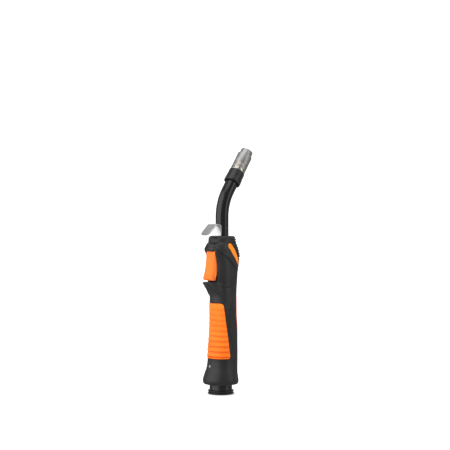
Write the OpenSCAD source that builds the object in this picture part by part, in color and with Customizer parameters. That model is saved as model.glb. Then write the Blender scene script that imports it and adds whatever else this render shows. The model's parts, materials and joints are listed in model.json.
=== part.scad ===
// MIG welding torch: bent neck with slip-off gas nozzle, two-shell handle with
// trigger, hanging hook and swivelling cable collar.
// +Z runs up the handle to the nozzle, the trigger faces -X, the shells meet at Y = 0.
// The origin is the centre of the cable socket's mouth, at the bottom of the collar.

/* [Handle] */
// height of the handle's top face
handle_top = 212.6; // [180:0.1:256]
// wall thickness of the shells
wall = 2.2; // [1.6:0.1:3]
// scale of the handle's side-to-side width
handle_width_factor = 1; // [0.9:0.01:1.2]
// gap between pieces that sit in one another
fit_gap = 0.15; // [0.1:0.05:0.3]
// gap between pieces on different joints
run_gap = 0.3; // [0.3:0.05:0.5]

/* [Neck] */
// outside diameter of the neck's jacket
neck_d = 17.6; // [14:0.1:21]
// straight length of the neck above the handle
neck_rise = 25.4; // [15:0.1:40]
// distance of the neck's axis from the handle's axis
neck_x = 2.35; // [0:0.05:4]
// radius of the bend
bend_r = 62; // [50:1:80]
// angle of the bend
bend_deg = 34; // [20:0.5:45]
// diameter of the plug that turns in the socket
plug_d = 14.08; // [12:0.02:15]

/* [Nozzle] */
// outside diameter of the nozzle's barrel
barrel_d = 20.5; // [17:0.1:22]
// outside diameter of the nozzle's outlet
outlet_d = 16.9; // [14:0.1:18]
// distance from the end of the bend to the nozzle's mouth
mouth_u = 68; // [60:0.5:78]
// length of the outlet
outlet_len = 7.2; // [5:0.1:10]
// length of the barrel
barrel_len = 16.2; // [12:0.1:20]
// length of the plated band
band_len = 6.8; // [4:0.1:9]
// length of the chrome seat ring
ring_len = 3.9; // [3:0.1:5]
// wall thickness of the black collar
collar_wall = 2.7; // [2:0.1:4]
// length of the black collar
collar_len = 18.5; // [14:0.5:20]

/* [Contact tip] */
// outside diameter of the contact tip
tip_d = 8; // [6:0.1:9]
// wire bore of the contact tip
wire_bore_d = 1.4; // [0.8:0.1:2]
// how far the tip sits back from the nozzle's mouth
tip_setback = 3; // [1:0.5:5]

/* [Trigger] */
// width of the trigger
trigger_w = 15.8; // [12:0.1:17]
// distance of the pivot below the handle's top
pivot_drop = 23.1; // [22:0.1:25]
// distance of the pivot in front of the handle's axis
pivot_x = 15; // [14.5:0.1:15.5]
// diameter of the pivot pin
pin_d = 3; // [2:0.1:3.6]

/* [Cable end] */
// diameter of the cable socket
socket_d = 22; // [16:0.1:23]
// wall thickness of the cable collar
tail_wall = 4.3; // [4:0.1:5]
// how far the two ribs stand out
rib_height = 2.4; // [1.5:0.1:3]

/* [Hook] */
// width of the hook's strip
hook_w = 16.4; // [10:0.1:19]
// thickness of the hook's strip
hook_t = 1.5; // [1:0.1:2]

/* [Hidden] */
$fn = 64;

neck_r = neck_d / 2;
// how much the handle is longer than its drawn height of 212.6
up = handle_top - 212.6;
bend_z = handle_top + neck_rise;
// how much the cable socket's radius is over its drawn 11
grow = socket_d / 2 - 11;
end_x = neck_x + bend_r * (1 - cos(bend_deg));
end_z = bend_z + bend_r * sin(bend_deg);
outlet_u = mouth_u - outlet_len;
barrel_u = outlet_u - barrel_len;
groove = 0.55;
band_u = barrel_u - groove - band_len;
ring_u = band_u - groove - ring_len;
collar_u = ring_u - collar_len;
tube_r = 5.5;
liner_r = 2.2;
plug_r = plug_d / 2;
socket_r = plug_r + 0.06;
block_top = handle_top - 6.7;
block_z = block_top - 35.9;
plug_z = block_z + 6.6;
block_r = 11;
stub_r = barrel_d / 2 - 2.7;
collar_r = neck_r + collar_wall;
pin_r = pin_d / 2;
pivot_z = handle_top - pivot_drop;
switch_z = pivot_z - 24.5;
cheek_in = trigger_w / 2 + 0.4;
cheek_out = cheek_in + 1.6;
hook_x = neck_x - neck_r - 0.4;
ball_z = 28;
ball_r = socket_d / 2 + 5.6;
tail_r = socket_d / 2 + tail_wall;
rib_r = tail_r + rib_height;
tube_out = socket_d / 2 + 1.5;
// top of the ball, where its bore or its flat end meets the sphere
ball_top = ball_z + min(10.8, sqrt(pow(ball_r, 2) - pow(tube_out + 0.1, 2)));

// handle sections: height, front x, back x, half width, squareness
DRAWN = [
  [13.4, -22.6, 22.6, 22.6, 2],
  [14.8, -23.9, 23.8, 23.9, 2],
  [18.5, -24.5, 24.1, 24.3, 2],
  [22, -23.9, 23.7, 23.7, 2],
  [27.5, -21.9, 22.9, 22.2, 2.05],
  [35.5, -18.5, 23.1, 20, 2.2],
  [44, -17, 23.6, 18.6, 2.35],
  [60, -16.7, 24, 17.8, 2.4],
  [72, -15.2, 23.9, 17.5, 2.4],
  [92, -13.9, 23.6, 17, 2.4],
  [104, -13.6, 22.3, 16.7, 2.4],
  [129, -13.6, 22.1, 16.5, 2.4],
  [140, -15.2, 22.4, 17, 2.4],
  [157, -17, 23.8, 18, 2.4],
  [173, -17.6, 25, 19, 2.4],
  [180, -18.6, 26.4, 19.4, 2.4],
  [186, -20.4, 27.1, 19.5, 2.4],
  [193.5, -22.1, 25, 19.5, 2.4],
  [201.6, -19.3, 22.1, 17.5, 2.4],
  [204.2, -16.2, 20.8, 16.8, 2.4],
  [209.4, -15.6, 20.1, 16.5, 2.4],
  [211.4, -14.6, 19.2, 15.6, 2.4],
  [212.6, -12.8, 17.4, 13.8, 2.4]];
LAST = len(DRAWN) - 1;

// the grip's stretch takes up any change in the handle's length
function lift(z) = z <= 44 ? z : z < 129 ? 44 + (z - 44) * (85 + up) / 85 : z + up;

function wide(z) = 1 + (handle_width_factor - 1) * min(1, max(0, (z - 36) / 24));

SECTIONS = [for (s = DRAWN) let (g = s[0] < 40 ? grow : s[0] < 50 ? grow / 2 : 0)
  [lift(s[0]), s[1] - g, s[2] + g, (s[3] + g) * wide(s[0]), s[4]]];

// points round one section, grown by g
function ring_points(s, g) = [for (i = [0:31])
  let (t = i * 11.25, e = 2 / s[4], ca = cos(t), sa = sin(t),
       a = (s[2] - s[1]) / 2 + g, b = s[3] + g)
  [(s[1] + s[2]) / 2 + a * sign(ca) * pow(abs(ca), e), b * sign(sa) * pow(abs(sa), e)]];

function ring_at(s, g) = [for (p = ring_points(s, g)) [p[0], p[1], s[0]]];

// the handle's form between two of its sections, grown by g
module skin(g, first, last) {
  for (i = [first:last - 1])
    hull() polyhedron(concat(ring_at(SECTIONS[i], g), ring_at(SECTIONS[i + 1], g)),
      [[for (j = [0:31]) j], [for (j = [63:-1:32]) j]]);
}

// an outline in X and Z made into a prism along Y
module side_prism(half) {
  translate([0, half, 0]) rotate([90, 0, 0]) linear_extrude(2 * half) children();
}

// moves a piece of the handle's upper part with the handle's length
module raised() {
  translate([0, 0, up]) children();
}

module tube(r_out, r_in, z0, z1) {
  difference() {
    translate([0, 0, z0]) cylinder(r = r_out, h = z1 - z0);
    translate([0, 0, z0 - 1]) cylinder(r = r_in, h = z1 - z0 + 2);
  }
}

// puts its children on the neck's end axis, u along it from the end of the bend
module on_end(u) {
  translate([end_x, 0, end_z]) rotate([0, bend_deg, 0]) translate([0, 0, u]) children();
}

// the neck's centre line from height z0 to u1 on the end axis: x, z and lean
function neck_line(z0, u1) = concat([[neck_x, z0, 0]],
  [for (i = [0:8]) let (a = bend_deg * i / 8)
    [neck_x + bend_r * (1 - cos(a)), bend_z + bend_r * sin(a), a]],
  [[end_x + u1 * sin(bend_deg), end_z + u1 * cos(bend_deg), bend_deg]]);

function neck_rings(r, z0, u1, sides) = [for (p = neck_line(z0, u1)) each
  [for (j = [0:sides - 1]) let (t = j * 360 / sides, d = r * cos(t))
    [p[0] + d * cos(p[2]), r * sin(t), p[1] - d * sin(p[2])]]];

// a pipe that follows the neck
module neck_pipe(r_out, r_in, z0, u1, sides) {
  rows = 10;
  total = (rows + 1) * sides;
  points = concat(neck_rings(r_out, z0, u1, sides), neck_rings(r_in, z0, u1, sides));
  walls = [for (i = [0:rows - 1]) for (j = [0:sides - 1])
    let (a = i * sides + j, b = i * sides + (j + 1) % sides) each
    [[a, a + sides, b + sides, b], [total + b, total + b + sides, total + a + sides, total + a]]];
  ends = [for (j = [0:sides - 1])
    let (k = (j + 1) % sides, m = rows * sides) each
    [[j, k, total + k, total + j], [total + m + j, total + m + k, m + k, m + j]]];
  polyhedron(points, concat(walls, ends));
}

module half_space(side) {
  translate([-60, side > 0 ? 0 : -60, -20]) cube([120, 60, handle_top + 50]);
}

// outlines seen from the side
module grip_outline(g) {
  offset(r = g) offset(r = 4) offset(delta = -4)
    polygon([[-40, lift(47.9)], [0.6, lift(47.9)], [-8, lift(122.2)], [-40, lift(122.2)]]);
}

module badge_outline(g) {
  offset(r = g) translate([0, up]) polygon([[-3.4, 201.3], [-2, 203.2], [0.9, 203.4], [3.3, 201.2],
    [12, 188], [18.3, 173.2], [8, 186.5], [-2.6, 199.4]]);
}

module thumb_outline(g) {
  offset(r = g) offset(r = 2) offset(delta = -2) translate([0, up])
    polygon([[8, 209], [40, 209], [40, 183], [17.8, 183], [13.5, 192.5], [10.3, 201]]);
}

// the back pad's outline seen from behind
module pad_outline(g) {
  half = [[62, 0], [68, 8.4], [78, 12.1], [98, 13.6], [118, 13.4], [130, 11.8], [134.6, 8.4]];
  offset(r = g) polygon(concat([for (p = half) [p[1], lift(p[0])]], [[0, lift(136)]],
    [for (i = [6:-1:1]) [-half[i][1], lift(half[i][0])]]));
}

module pad_prism(g) {
  translate([8, 0, 0]) rotate([90, 0, 90]) linear_extrude(24) pad_outline(g);
}

module lip() {
  raised() intersection() {
    side_prism(12.4) polygon([[-9, 131], [-11.6, 134.2], [-13.4, 137.6], [-16.2, 141.4],
      [-21.6, 145.8], [-27.9, 149.6], [-27.6, 150.6], [-15, 150.8], [-8, 150.8]]);
    translate([-14, 0, 120]) scale([15.4, 12.9, 1]) rotate([0, 0, 3]) cylinder(r = 1, h = 40);
  }
}

module housing_outline(g) {
  offset(delta = g) translate([0, up]) polygon([[-15, 150.3], [-4.8, 150.3], [-4.8, 169.3], [-9.3, 169.3],
    [-9.3, 195], [-15, 195]]);
}

SCREWS = [[15, lift(53)], [14.5, 137 + up], [16.2, 193 + up]];

// half the spacing of a screw's head and nut seats
function seat(p) = 10 * wide(p[1]);

module screw_posts() {
  for (p = SCREWS)
    translate([p[0], 0, p[1]]) rotate([90, 0, 0]) cylinder(r = 3.4, h = 60, center = true, $fn = 16);
  // bosses that stop the trigger's pin at both ends
  translate([-pivot_x, 0, pivot_z]) rotate([90, 0, 0])
    cylinder(r = pin_r + 1.2, h = 60, center = true, $fn = 24);
}

module ribs() {
  for (z = [lift(66), lift(112), 172.5 + up, 201 + up])
    translate([-40, -40, z]) cube([80, 80, 2.4]);
}

module shell(side) {
  difference() {
    union() {
      skin(0, 0, LAST);
      lip();
    }
    // hollow, with ribs and screw posts left standing
    difference() {
      union() {
        skin(-wall, 5, 19);
        translate([0, 0, 33]) cylinder(r = 16.2 + grow, h = 4);
      }
      intersection() {
        ribs();
        translate([-60, -60, 44]) cube([120, 120, 165 + up]);
      }
      screw_posts();
    }
    // swivel seat and the way out for the collar
    translate([0, 0, -1]) cylinder(r = tail_r + 2.75, h = 26);
    translate([0, 0, 21]) cylinder(r = ball_r + 3.3, h = 7.3);
    translate([0, 0, 28]) cylinder(r = ball_r + 0.7, h = 5.8);
    translate([0, 0, 33]) cylinder(r = 15.4 + grow, h = 9);
    // passage for leads and hose through the ribs
    translate([neck_x, 0, 40]) cylinder(r = 9.2, h = 130 + up, $fn = 24);
    translate([-10.3, -5, lift(66) - 6]) cube([9, 10, 151 + up - lift(66)]);
    // neck, socket block and hook foot
    translate([neck_x, 0, block_z - fit_gap])
      cylinder(r = block_r + fit_gap, h = block_top - block_z + 0.3);
    translate([neck_x, 0, block_top - 5]) cylinder(r = neck_r + run_gap + 0.1, h = 20);
    translate([neck_x, 0, block_z + 9.2]) rotate([0, 90, 0]) cylinder(r = 2.6, h = 16);
    translate([hook_x - hook_t - 0.4, -hook_w / 2 - fit_gap, block_top + 0.6])
      cube([hook_t + 0.8, hook_w + 2 * fit_gap, 10]);
    // trigger module
    side_prism(cheek_out + fit_gap) housing_outline(fit_gap);
    raised() translate([-40, -cheek_in, 152]) cube([26, 2 * cheek_in, 40.6]);
    translate([-pivot_x, 0, pivot_z]) rotate([90, 0, 0])
      cylinder(r = pin_r + fit_gap, h = 2 * cheek_out, center = true);
    // seats for the fitted skins
    difference() {
      union() {
        side_prism(40) grip_outline(fit_gap);
        side_prism(40) badge_outline(fit_gap);
        side_prism(40) thumb_outline(fit_gap);
        pad_prism(fit_gap);
      }
      skin(-1.45, 0, LAST);
    }
    // screws
    for (p = SCREWS) translate([p[0], 0, p[1]]) rotate([90, 0, 0]) {
      cylinder(r = 1.7, h = 2 * seat(p) + 2, center = true, $fn = 16);
      translate([0, 0, -60]) cylinder(r = 3.1, h = 60.1 - seat(p), $fn = 16);
    }
    translate([-30 - grow, 3.4, 37.5]) rotate([0, 90, 0]) cylinder(r = 1.75, h = 18, $fn = 24);
    half_space(-side);
  }
}

module shell_left() { color([0.09, 0.09, 0.1]) shell(-1); }
module shell_right() { color([0.09, 0.09, 0.1]) shell(1); }

// a skin piece that lies in its seat and stands proud by h
module fitted(h, first, last) {
  difference() {
    skin(h, first, last);
    skin(-1.35, first, last);
  }
}

module grip_insert(side) {
  difference() {
    intersection() {
      fitted(0.75, 6, 12);
      side_prism(40) grip_outline(0);
      half_space(side);
    }
    // finger grooves
    difference() {
      intersection() {
        union() {
          for (i = [0:9]) translate([-40, -40, lift(51.7 + i * 7) - 1.1]) cube([80, 80, 2.2]);
        }
        side_prism(40) grip_outline(-3);
      }
      skin(0.05, 6, 12);
    }
  }
}

module grip_insert_left() { color([0.93, 0.3, 0.1]) grip_insert(-1); }
module grip_insert_right() { color([0.93, 0.3, 0.1]) grip_insert(1); }

module back_pad() {
  color([0.85, 0.25, 0.12]) intersection() {
    fitted(0.5, 6, 12);
    pad_prism(0);
  }
}

module thumb_pad() {
  color([0.08, 0.08, 0.09]) difference() {
    intersection() {
      fitted(0.6, 14, 21);
      side_prism(40) thumb_outline(0);
    }
    difference() {
      union() {
        for (i = [0:5]) translate([6, -40, 185.9 + up + i * 3.8]) cube([40, 80, 1.4]);
      }
      skin(0.02, 14, 21);
    }
  }
}

module badge(side) {
  intersection() {
    fitted(0.12, 14, 21);
    side_prism(40) badge_outline(0);
    half_space(side);
  }
}

module badge_left() { color([0.93, 0.3, 0.1]) badge(-1); }
module badge_right() { color([0.93, 0.3, 0.1]) badge(1); }

// heads under the right shell, shanks reaching into the left one
module shell_screws() {
  color([0.6, 0.6, 0.62]) for (p = SCREWS)
    translate([p[0], 0, p[1]]) rotate([-90, 0, 0]) {
      translate([0, 0, -seat(p)]) cylinder(r = 1.5, h = 2 * seat(p));
      translate([0, 0, seat(p)]) difference() {
        cylinder(r = 2.8, h = 2);
        translate([0, 0, 1]) cylinder(r = 1.3, h = 2, $fn = 6);
      }
    }
}

module clamp_screw() {
  color([0.6, 0.6, 0.62]) translate([-grow, 3.4, 37.5]) rotate([0, -90, 0]) difference() {
    translate([0, 0, 15.7]) cylinder(r = 1.6, h = 1.9);
    translate([0, 0, 16.8]) cylinder(r = 0.8, h = 2, $fn = 6);
  }
}

// bent strip: foot clamped in the handle, up the neck, forward, then down
module hook() {
  t = hook_t;
  color([0.62, 0.63, 0.64]) raised() difference() {
    side_prism(hook_w / 2) polygon([[hook_x, 207], [hook_x, 226.2], [hook_x - 0.9, 227.4],
      [-15.4, 228.6], [-16.6, 228.1], [-31.4, 214.2], [-30.4, 213.2],
      [-16.2 + t * 0.4, 228.4 - t], [hook_x - t - 0.2, 225.8], [hook_x - t, 225.2],
      [hook_x - t, 207]]);
    // rounded free end
    for (s = [-1, 1]) translate([-28.4, s * hook_w / 2, 205]) rotate([0, 0, s * 35])
      translate([-10, s > 0 ? 0 : -6, 0]) cube([12, 6, 20]);
  }
}

module neck_socket() {
  color([0.8, 0.62, 0.25]) translate([neck_x, 0, 0]) difference() {
    translate([0, 0, block_z]) cylinder(r = block_r, h = block_top - block_z);
    translate([0, 0, plug_z - 0.3]) cylinder(r = socket_r, h = 60);
    translate([0, 0, block_z - 10]) cylinder(r = 4, h = 20);
    translate([0, 0, block_z - 1]) cylinder(r = 6.15, h = 3.5);
    translate([0, 0, block_z + 9.2]) rotate([0, 90, 0]) cylinder(r = 2.05, h = 20);
  }
}

module lock_screw() {
  color([0.6, 0.6, 0.62]) translate([neck_x, 0, block_z + 9.2]) rotate([0, 90, 0]) difference() {
    union() {
      translate([0, 0, plug_r + 0.5]) cylinder(r = 2, h = 12.5 - plug_r);
      translate([0, 0, plug_r - 0.8]) cylinder(r = 1.1, h = 1.4);
    }
    translate([0, 0, 11.5]) cylinder(r = 1.1, h = 2, $fn = 6);
  }
}

module cable_nipple() {
  color([0.8, 0.62, 0.25]) translate([neck_x, 0, block_z]) difference() {
    union() {
      translate([0, 0, -32]) cylinder(r = 6, h = 34.3);
      translate([0, 0, -52]) cylinder(r = 4.6, h = 20.1);
      for (z = [-51, -46, -41])
        translate([0, 0, z]) cylinder(r1 = 4.6, r2 = 5.3, h = 3);
    }
    translate([0, 0, -53]) cylinder(r = 3, h = 60);
  }
}

module nipple_nut() {
  color([0.8, 0.62, 0.25]) translate([neck_x, 0, block_z - 29]) difference() {
    cylinder(r = 8.2, h = 8, $fn = 6);
    translate([0, 0, -1]) cylinder(r = 6.1, h = 10);
  }
}

// the trigger's frame: two cheeks, floor and back
module switch_housing() {
  color([0.1, 0.1, 0.11]) difference() {
    side_prism(cheek_out) housing_outline(0);
    // room for the trigger
    raised() translate([-20, -cheek_in, 152]) cube([9, 2 * cheek_in, 50]);
    raised() translate([-20, -cheek_in, 152]) cube([13.7, 2 * cheek_in, 15.9]);
    // pin, terminals
    translate([-pivot_x, 0, pivot_z]) rotate([90, 0, 0]) cylinder(r = pin_r + 0.03, h = 40, center = true);
    for (y = [-3, 3]) raised() translate([-8.9, y - 1.8, 149]) cube([1.4, 3.6, 5]);
  }
}

module trigger_pin() {
  color([0.6, 0.6, 0.62]) translate([-pivot_x, 0, pivot_z]) rotate([90, 0, 0])
    cylinder(r = pin_r, h = 2 * cheek_out - 1.4, center = true);
}

module switch_body() {
  color([0.16, 0.16, 0.17]) difference() {
    raised() translate([-12.3, -5.9, 153]) cube([5.9, 11.8, 14.8]);
    translate([-14, 0, switch_z]) rotate([0, 90, 0]) cylinder(r = 1.25, h = 6.9);
    for (y = [-3, 3]) raised() translate([-8.55, y - 1.5, 152]) cube([0.7, 3, 3]);
  }
}

module switch_terminals() {
  color([0.75, 0.72, 0.6]) for (y = [-3, 3])
    raised() translate([-8.5, y - 1.4, 146.2]) cube([0.6, 2.8, 8.6]);
}

module switch_leads() {
  color([0.12, 0.12, 0.13]) for (y = [-3, 3])
    translate([-8.2, y, lift(66)]) difference() {
      cylinder(r = 1.1, h = 146.1 + up - lift(66));
      translate([0, 0, -1]) cylinder(r = 0.4, h = 6);
    }
}

module lead_splices() {
  color([0.7, 0.2, 0.15]) for (y = [-3, 3])
    translate([-8.2, y, lift(66)]) tube(1.75, 1.15, -4, 8);
}

// coil wound along X between the trigger and the back of its frame
module trigger_spring() {
  wire = 0.28;
  turns = 5;
  steps = 14;
  count = turns * steps;
  length = 6.6;
  function rim(i) = let (t = i * 360 / steps)
    [for (j = [0:5]) let (q = j * 60, r = 2.2 + wire * cos(q))
      [-17.9 + length * i / count + wire * sin(q), r * cos(t), 176 + r * sin(t)]];
  points = [for (i = [0:count]) each rim(i)];
  sides = [for (i = [0:count - 1]) for (j = [0:5])
    [i * 6 + j, i * 6 + (j + 1) % 6, (i + 1) * 6 + (j + 1) % 6, (i + 1) * 6 + j]];
  ends = [[for (j = [5:-1:0]) j], [for (j = [0:5]) count * 6 + j]];
  color([0.7, 0.7, 0.72]) raised() polyhedron(points, concat(sides, ends));
}

module trigger() {
  color([0.93, 0.3, 0.1]) difference() {
    raised() side_prism(trigger_w / 2) polygon([[-19.3, 191.6], [-20.3, 184], [-21.6, 174],
      [-23.4, 165], [-26.8, 155.6], [-26.5, 154.4], [-25, 153.3], [-17.6, 152.7],
      [-16.8, 158], [-13.6, 169], [-13.3, 186], [-13.6, 191], [-15, 192.2], [-18.6, 192.2]]);
    // hollow back
    difference() {
      raised() side_prism(trigger_w / 2 - 1.5) polygon([[-17.9, 187], [-18.3, 184],
        [-19.6, 174], [-21.4, 165], [-24.4, 156.8], [-12, 156.8], [-12, 187]]);
      translate([-25, -2.5, switch_z - 2]) cube([25 - 14.8, 5, 4]);
    }
    translate([-pivot_x, 0, pivot_z]) rotate([90, 0, 0])
      cylinder(r = pin_r + 0.06, h = 40, center = true);
  }
}

module switch_plunger() {
  color([0.85, 0.85, 0.8]) translate([-14.5, 0, switch_z]) rotate([0, 90, 0]) cylinder(r = 1.2, h = 4.2);
}

module neck_sleeve() {
  color([0.05, 0.05, 0.055]) neck_pipe(neck_r, tube_r + 0.05, block_top + 0.4, ring_u - 6, 32);
}

module neck_tube() {
  color([0.75, 0.45, 0.3]) neck_pipe(tube_r, 3.6, plug_z + 7.5, ring_u - 2, 24);
}

module neck_liner() {
  color([0.6, 0.6, 0.62]) neck_pipe(liner_r, 1, block_z - 14, ring_u + 4, 16);
}

RING_Z = [plug_z + 10.4, plug_z + 22.4];

module neck_plug() {
  color([0.8, 0.62, 0.25]) translate([neck_x, 0, 0]) difference() {
    translate([0, 0, plug_z]) cylinder(r = plug_r, h = 29);
    translate([0, 0, plug_z - 1]) cylinder(r = 3.2, h = 30);
    translate([0, 0, plug_z + 7.4]) cylinder(r = tube_r + 0.05, h = 30);
    tube(plug_r + 1, plug_r - 1.3, plug_z + 1, plug_z + 4.2);
    for (z = RING_Z) translate([0, 0, z]) tube(plug_r + 1, plug_r - 1.02, -1.1, 1.1);
  }
}

module plug_rings() {
  color([0.1, 0.1, 0.1]) for (z = RING_Z)
    translate([neck_x, 0, z]) rotate_extrude() translate([plug_r - 0.5, 0]) circle(r = 0.48);
}

module nozzle_collar() {
  color([0.07, 0.07, 0.075]) on_end(0) rotate_extrude() polygon([
    [neck_r + 1.15, collar_u], [collar_r - 0.3, collar_u],
    [collar_r + 0.1, collar_u + 0.5], [collar_r + 0.1, collar_u + 3.6],
    [collar_r - 0.1, collar_u + 4.6], [collar_r - 0.1, collar_u + 9],
    [collar_r - 0.45, collar_u + 9.6], [collar_r - 0.45, ring_u - 0.8],
    [collar_r - 0.9, ring_u], [8.05, ring_u], [8.05, ring_u - 5.3], [6.7, ring_u - 5.3],
    [6.7, ring_u - 5.9], [neck_r + 0.05, ring_u - 5.9], [neck_r + 0.05, collar_u + 4.2],
    [neck_r + 1.15, collar_u + 3.4]]);
}

// plated ring with the stub that the nozzle slips over
module nozzle_seat() {
  color([0.8, 0.82, 0.8]) on_end(0) rotate_extrude() polygon([
    [6.5, ring_u - 5.2], [7.95, ring_u - 5.2], [7.95, ring_u + 0.05],
    [barrel_d / 2 - 0.2, ring_u + 0.05], [barrel_d / 2 + 0.1, ring_u + 0.35],
    [barrel_d / 2 + 0.1, ring_u + ring_len - 0.3], [barrel_d / 2 - 0.2, ring_u + ring_len],
    [stub_r, ring_u + ring_len], [stub_r, ring_u + ring_len + 3], [stub_r - 0.6, ring_u + ring_len + 3],
    [stub_r - 0.6, ring_u + ring_len + 4.1], [stub_r, ring_u + ring_len + 4.1],
    [stub_r, ring_u + ring_len + 8], [stub_r - 0.4, ring_u + ring_len + 8.4],
    [6.5, ring_u + ring_len + 8.4]]);
}

module nozzle_snap() {
  color([0.6, 0.6, 0.62]) on_end(ring_u + ring_len + 3.55)
    rotate_extrude() translate([stub_r - 0.3, 0]) circle(r = 0.28, $fn = 16);
}

module gas_diffuser() {
  color([0.8, 0.62, 0.25]) on_end(0) difference() {
    union() {
      translate([0, 0, ring_u - 1.9]) cylinder(r = 5.9, h = 9.9);
      translate([0, 0, ring_u + 8]) cylinder(r1 = 5.9, r2 = 5.2, h = 8);
    }
    translate([0, 0, ring_u - 3]) cylinder(r = 3.3, h = 12);
    translate([0, 0, ring_u + 8]) cylinder(r = 3.05, h = 10);
    for (a = [0:60:300]) rotate([0, 0, a + 30]) translate([2.5, 0, ring_u + 6])
      rotate([0, 90, 0]) cylinder(r = 0.9, h = 5);
  }
}

module contact_tip() {
  color([0.75, 0.4, 0.25]) on_end(0) difference() {
    union() {
      translate([0, 0, ring_u + 9.5]) cylinder(r = 3, h = 7);
      translate([0, 0, ring_u + 16.1]) cylinder(r = tip_d / 2, h = mouth_u - tip_setback - 5 - ring_u - 16.1);
      translate([0, 0, mouth_u - tip_setback - 5]) cylinder(r1 = tip_d / 2, r2 = tip_d / 2 - 1.2, h = 5);
    }
    translate([0, 0, ring_u + 8]) cylinder(r = wire_bore_d / 2, h = 60);
  }
}

module gas_nozzle() {
  b = barrel_d / 2;
  o = outlet_d / 2;
  color([0.66, 0.66, 0.64]) on_end(0) rotate_extrude() polygon([
    [b - 0.65, barrel_u], [b - 0.15, barrel_u], [b, barrel_u + 0.2], [b, outlet_u - 0.7],
    [b - 0.35, outlet_u - 0.2], [o + 0.5, outlet_u], [o + 0.1, outlet_u + 0.25],
    [o, outlet_u + 0.8], [o, mouth_u - 0.25], [o - 0.25, mouth_u], [o - 1.6, mouth_u],
    [o - 1.7, outlet_u - 1], [b - 1.65, outlet_u - 3.2], [b - 1.65, barrel_u + 9],
    [b - 0.65, barrel_u + 9]]);
}

// copper sleeve that shows in the two narrow grooves
module nozzle_insert() {
  b = barrel_d / 2;
  color([0.85, 0.45, 0.25]) on_end(0) rotate_extrude() polygon([
    [stub_r + 0.07, band_u - groove + 0.12], [b - 0.2, band_u - groove + 0.12],
    [b - 0.2, band_u - 0.05], [b - 0.7, band_u - 0.05], [b - 0.7, barrel_u - groove + 0.05],
    [b - 0.25, barrel_u - groove + 0.05], [b - 0.25, barrel_u - 0.05],
    [b - 0.7, barrel_u - 0.05], [b - 0.7, barrel_u + 8.9], [b - 1.6, barrel_u + 8.9],
    [b - 1.6, barrel_u + 3], [stub_r + 0.07, barrel_u + 1.6]]);
}

module nozzle_band() {
  b = barrel_d / 2;
  color([0.7, 0.7, 0.7]) on_end(0) rotate_extrude() polygon([
    [b - 0.65, band_u], [b - 0.2, band_u], [b, band_u + 0.2],
    [b, band_u + band_len - 0.2], [b - 0.2, band_u + band_len], [b - 0.65, band_u + band_len]]);
}

// ring that turns in the flared end and holds the ball
module ball_seat() {
  color([0.12, 0.12, 0.13]) difference() {
    union() {
      translate([0, 0, 21.3]) cylinder(r = ball_r + 3, h = 6.7);
      translate([0, 0, 27.9]) cylinder(r = ball_r + 0.4, h = 5.6);
    }
    translate([0, 0, ball_z]) sphere(r = ball_r + run_gap);
  }
}

module swivel_ball() {
  color([0.08, 0.08, 0.09]) difference() {
    intersection() {
      translate([0, 0, ball_z]) sphere(r = ball_r);
      translate([0, 0, 17.2]) cylinder(r = ball_r + 3, h = 21.6);
    }
    translate([0, 0, 10]) cylinder(r = tube_out + 0.1, h = 40);
  }
}

module cable_collar() {
  color([0.07, 0.07, 0.075]) rotate_extrude() polygon([
    [socket_d / 2, 0], [rib_r - 0.6, 0], [rib_r, 0.5], [rib_r, 1.5],
    [rib_r - 0.7, 2], [tail_r + 0.2, 2.3], [tail_r + 0.2, 3], [rib_r - 0.7, 3.3],
    [rib_r - 0.2, 3.8], [rib_r - 0.2, 4.7], [rib_r - 0.9, 5.2], [tail_r, 5.8],
    [tail_r, 15.9], [tail_r - 0.6, 16.5], [tube_out, 16.5], [tube_out, 40.2],
    [socket_d / 2, 40.2]]);
}

module collar_clip() {
  color([0.6, 0.6, 0.62]) tube(tube_out + 0.9, tube_out + 0.1, ball_top + 0.2, ball_top + 1.3);
}

shell_left();
shell_right();
grip_insert_left();
grip_insert_right();
back_pad();
thumb_pad();
badge_left();
badge_right();
shell_screws();
clamp_screw();
hook();
neck_socket();
lock_screw();
cable_nipple();
nipple_nut();
switch_housing();
trigger_pin();
switch_body();
switch_terminals();
switch_leads();
lead_splices();
trigger_spring();
trigger();
switch_plunger();
neck_sleeve();
neck_tube();
neck_liner();
neck_plug();
plug_rings();
nozzle_collar();
nozzle_seat();
nozzle_snap();
gas_diffuser();
contact_tip();
gas_nozzle();
nozzle_insert();
nozzle_band();
ball_seat();
swivel_ball();
cable_collar();
collar_clip();
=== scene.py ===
# MIG welding torch: the finished look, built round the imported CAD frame.
import json
import math

import bmesh
import bpy
import numpy as np
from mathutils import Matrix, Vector


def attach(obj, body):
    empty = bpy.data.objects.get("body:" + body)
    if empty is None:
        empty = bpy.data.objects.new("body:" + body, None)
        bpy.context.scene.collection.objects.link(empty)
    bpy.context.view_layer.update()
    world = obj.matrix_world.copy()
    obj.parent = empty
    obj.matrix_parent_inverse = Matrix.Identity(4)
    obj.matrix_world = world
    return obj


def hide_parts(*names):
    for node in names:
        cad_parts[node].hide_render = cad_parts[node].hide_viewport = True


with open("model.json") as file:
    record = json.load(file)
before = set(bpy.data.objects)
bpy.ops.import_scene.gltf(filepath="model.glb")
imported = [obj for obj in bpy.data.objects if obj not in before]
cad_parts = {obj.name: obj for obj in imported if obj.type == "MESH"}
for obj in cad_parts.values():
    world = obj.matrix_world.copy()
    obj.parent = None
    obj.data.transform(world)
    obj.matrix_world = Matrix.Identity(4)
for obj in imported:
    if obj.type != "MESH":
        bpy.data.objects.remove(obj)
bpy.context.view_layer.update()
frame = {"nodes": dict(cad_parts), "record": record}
MM = 0.001
NODES = frame["nodes"]

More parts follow.
